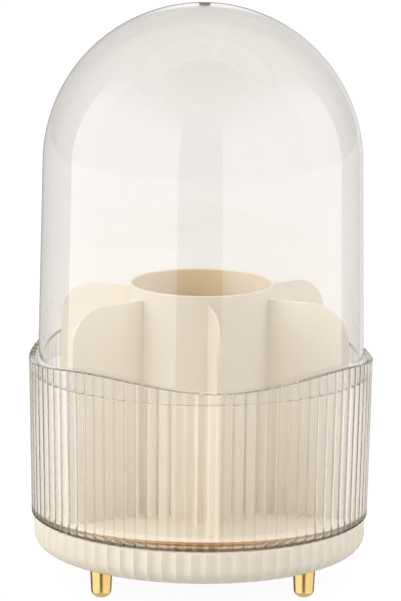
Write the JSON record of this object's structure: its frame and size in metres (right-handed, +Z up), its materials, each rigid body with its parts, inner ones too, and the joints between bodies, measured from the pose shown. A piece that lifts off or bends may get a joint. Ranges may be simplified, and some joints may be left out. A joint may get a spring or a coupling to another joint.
{
  "type": "rotating makeup organizer",
  "caption": "Round turning organizer: clear domed lid on a clear ribbed cup with a wavy rim, cream divider with a central tube and radial fins, fluted cream base on small feet.",
  "frame": {"origin": "on the ground under the centre of the base, on the turning axis", "axes": "+Z up along the turning axis, the front faces -Y, +X to the right seen from the front"},
  "size_m": [0.1598, 0.1598, 0.2686],
  "materials": {
    "cream_base": "satin cream moulded plastic",
    "cream_divider": "smooth satin cream moulded plastic",
    "clear_cup": "clear, faintly warm, glossy moulded plastic",
    "clear_lid": "clear, glossy, very faintly smoky moulded plastic",
    "gold": "bright gold plating",
    "steel": "zinc-plated steel",
    "polished_steel": "polished steel",
    "white_nylon": "plain nylon"
  },
  "bodies": {
    "base": {"base_shell": "cream_base", "bottom_cover": "cream_base", "cover_screws": "steel", "foot_front_left": "gold", "foot_front_right": "gold", "foot_rear_right": "gold", "foot_rear_left": "gold", "foot_screws": "steel", "lower_race": "steel", "pivot_bush": "white_nylon"},
    "bearing": {"ball_cage": "white_nylon", "bearing_balls": "polished_steel"},
    "carousel": {"turntable_plate": "cream_base", "upper_race": "steel", "pivot_washer": "steel", "pivot_screw": "steel", "cup": "clear_cup", "plate_screws": "steel", "divider_insert": "cream_divider"},
    "lid": {"dome_lid": "clear_lid"}
  },
  "joints": [
    {"name": "carousel_spin", "type": "hinge", "parent": "base", "child": "carousel", "pos_m": [0, 0, 0.0266], "axis": [0, 0, 1], "continuous": true},
    {"name": "bearing_roll", "type": "hinge", "parent": "base", "child": "bearing", "pos_m": [0, 0, 0.0233], "axis": [0, 0, 1], "continuous": true},
    {"name": "lid_lift", "type": "slide", "parent": "carousel", "child": "lid", "axis": [0, 0, 1], "range_m": [0, 0.1]}
  ],
  "couplings": [
    {"joint": "bearing_roll", "follows": "carousel_spin", "ratio": 0.5}
  ]
}
